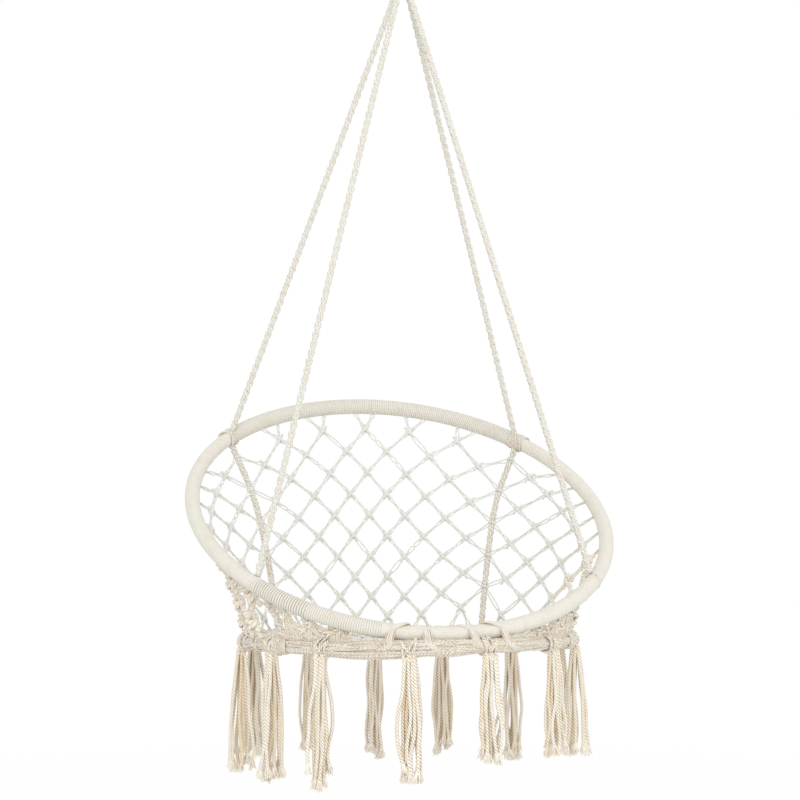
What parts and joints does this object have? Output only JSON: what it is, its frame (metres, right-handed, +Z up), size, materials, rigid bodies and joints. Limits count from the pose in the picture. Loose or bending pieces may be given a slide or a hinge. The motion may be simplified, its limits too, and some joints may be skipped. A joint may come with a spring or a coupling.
{
  "type": "hammock chair",
  "caption": "Hanging hammock chair: knotted cotton net on a large tilted hoop and a smaller seat ring, four braided ropes to one hanging ring, tassels round the seat.",
  "frame": {"origin": "the inside top of the hanging ring, where a hook bears", "axes": "+Z up, the chair faces -Y, +X to the left of a person sitting in it"},
  "size_m": [0.802, 0.7009, 1.604],
  "materials": {
    "cord_cotton": "matte",
    "rope_cotton": "matte",
    "tassel_cotton": "matte",
    "tube_steel": "satin",
    "ring_steel": "polished"
  },
  "bodies": {
    "ring": {"hang_ring": "ring_steel"},
    "eyes": {"rope_eye_left": "rope_cotton", "rope_eye_right": "rope_cotton"},
    "crown": {"crown_knot": "rope_cotton", "crown_seizing": "cord_cotton"},
    "chair": {"front_tie_1": "cord_cotton", "front_tie_2": "cord_cotton", "front_tie_3": "cord_cotton", "front_tie_4": "cord_cotton", "hoop_lashing_front_left": "cord_cotton", "hoop_lashing_front_right": "cord_cotton", "hoop_lashing_rear_left": "cord_cotton", "hoop_lashing_rear_right": "cord_cotton", "hoop_tube": "tube_steel", "hoop_wrap_front": "cord_cotton", "hoop_wrap_left": "cord_cotton", "hoop_wrap_rear": "cord_cotton", "hoop_wrap_right": "cord_cotton", "lower_rope_front_left": "rope_cotton", "lower_rope_front_right": "rope_cotton", "lower_rope_rear_left": "rope_cotton", "lower_rope_rear_right": "rope_cotton", "net_front_left": "cord_cotton", "net_front_right": "cord_cotton", "net_left": "cord_cotton", "net_rear": "cord_cotton", "net_right": "cord_cotton", "rope_front_left": "rope_cotton", "rope_front_right": "rope_cotton", "rope_rear_left": "rope_cotton", "rope_rear_right": "rope_cotton", "seat_cover_front": "cord_cotton", "seat_cover_left": "cord_cotton", "seat_cover_rear": "cord_cotton", "seat_cover_right": "cord_cotton", "seat_lashing_front_left": "cord_cotton", "seat_lashing_front_right": "cord_cotton", "seat_lashing_rear_left": "cord_cotton", "seat_lashing_rear_right": "cord_cotton", "seat_net": "cord_cotton", "seat_tube": "tube_steel"},
    "tassel_back": {"tassel_back": "tassel_cotton"},
    "tassel_left_1": {"tassel_left_1": "tassel_cotton"},
    "tassel_left_2": {"tassel_left_2": "tassel_cotton"},
    "tassel_left_3": {"tassel_left_3": "tassel_cotton"},
    "tassel_left_4": {"tassel_left_4": "tassel_cotton"},
    "tassel_left_5": {"tassel_left_5": "tassel_cotton"},
    "tassel_left_6": {"tassel_left_6": "tassel_cotton"},
    "tassel_right_1": {"tassel_right_1": "tassel_cotton"},
    "tassel_right_2": {"tassel_right_2": "tassel_cotton"},
    "tassel_right_3": {"tassel_right_3": "tassel_cotton"},
    "tassel_right_4": {"tassel_right_4": "tassel_cotton"},
    "tassel_right_5": {"tassel_right_5": "tassel_cotton"},
    "tassel_right_6": {"tassel_right_6": "tassel_cotton"}
  },
  "joints": [
    {"name": "swing_fore_aft", "type": "hinge", "parent": "ring", "child": "eyes", "pos_m": [0, 0, -0.054], "axis": [1, 0, 0], "range_deg": [-30, 30]},
    {"name": "swing_side", "type": "hinge", "parent": "eyes", "child": "crown", "pos_m": [0, 0, -0.086], "axis": [0, 1, 0], "range_deg": [-20, 20]},
    {"name": "twist", "type": "hinge", "parent": "crown", "child": "chair", "pos_m": [0, 0, -0.115], "axis": [0, 0, 1], "range_deg": [-180, 180]},
    {"name": "tassel_back_swing", "type": "hinge", "parent": "chair", "child": "tassel_back", "pos_m": [0.01025, 0.26908, -1.36525], "axis": [0.9994, -0.0338, 0], "range_deg": [-20, 25]},
    {"name": "tassel_left_1_swing", "type": "hinge", "parent": "chair", "child": "tassel_left_1", "pos_m": [-0.13038, 0.23997, -1.36452], "axis": [0.9028, 0.43, 0], "range_deg": [-20, 25]},
    {"name": "tassel_left_2_swing", "type": "hinge", "parent": "chair", "child": "tassel_left_2", "pos_m": [-0.25735, 0.12623, -1.36165], "axis": [0.5278, 0.8494, 0], "range_deg": [-20, 25]},
    {"name": "tassel_left_3_swing", "type": "hinge", "parent": "chair", "child": "tassel_left_3", "pos_m": [-0.30216, -0.01163, -1.35818], "axis": [0.0725, 0.9974, 0], "range_deg": [-20, 25]},
    {"name": "tassel_left_4_swing", "type": "hinge", "parent": "chair", "child": "tassel_left_4", "pos_m": [-0.2717, -0.16622, -1.35428], "axis": [-0.439, 0.8985, 0], "range_deg": [-20, 25]},
    {"name": "tassel_left_5_swing", "type": "hinge", "parent": "chair", "child": "tassel_left_5", "pos_m": [-0.20474, -0.25579, -1.35202], "axis": [-0.7357, 0.6773, 0], "range_deg": [-20, 25]},
    {"name": "tassel_left_6_swing", "type": "hinge", "parent": "chair", "child": "tassel_left_6", "pos_m": [-0.0725, -0.32762, -1.35021], "axis": [-0.971, 0.2392, 0], "range_deg": [-20, 25]},
    {"name": "tassel_right_1_swing", "type": "hinge", "parent": "chair", "child": "tassel_right_1", "pos_m": [0.14054, 0.23413, -1.36437], "axis": [0.8855, -0.4646, 0], "range_deg": [-20, 25]},
    {"name": "tassel_right_2_swing", "type": "hinge", "parent": "chair", "child": "tassel_right_2", "pos_m": [0.25134, 0.13454, -1.36186], "axis": [0.5562, -0.831, 0], "range_deg": [-20, 25]},
    {"name": "tassel_right_3_swing", "type": "hinge", "parent": "chair", "child": "tassel_right_3", "pos_m": [0.30203, -0.00134, -1.35844], "axis": [0.1062, -0.9943, 0], "range_deg": [-20, 25]},
    {"name": "tassel_right_4_swing", "type": "hinge", "parent": "chair", "child": "tassel_right_4", "pos_m": [0.28476, -0.13683, -1.35502], "axis": [-0.3411, -0.94, 0], "range_deg": [-20, 25]},
    {"name": "tassel_right_5_swing", "type": "hinge", "parent": "chair", "child": "tassel_right_5", "pos_m": [0.20257, -0.25774, -1.35197], "axis": [-0.7422, -0.6702, 0], "range_deg": [-20, 25]},
    {"name": "tassel_right_6_swing", "type": "hinge", "parent": "chair", "child": "tassel_right_6", "pos_m": [0.0683, -0.32897, -1.35018], "axis": [-0.9743, -0.2251, 0], "range_deg": [-20, 25]}
  ]
}
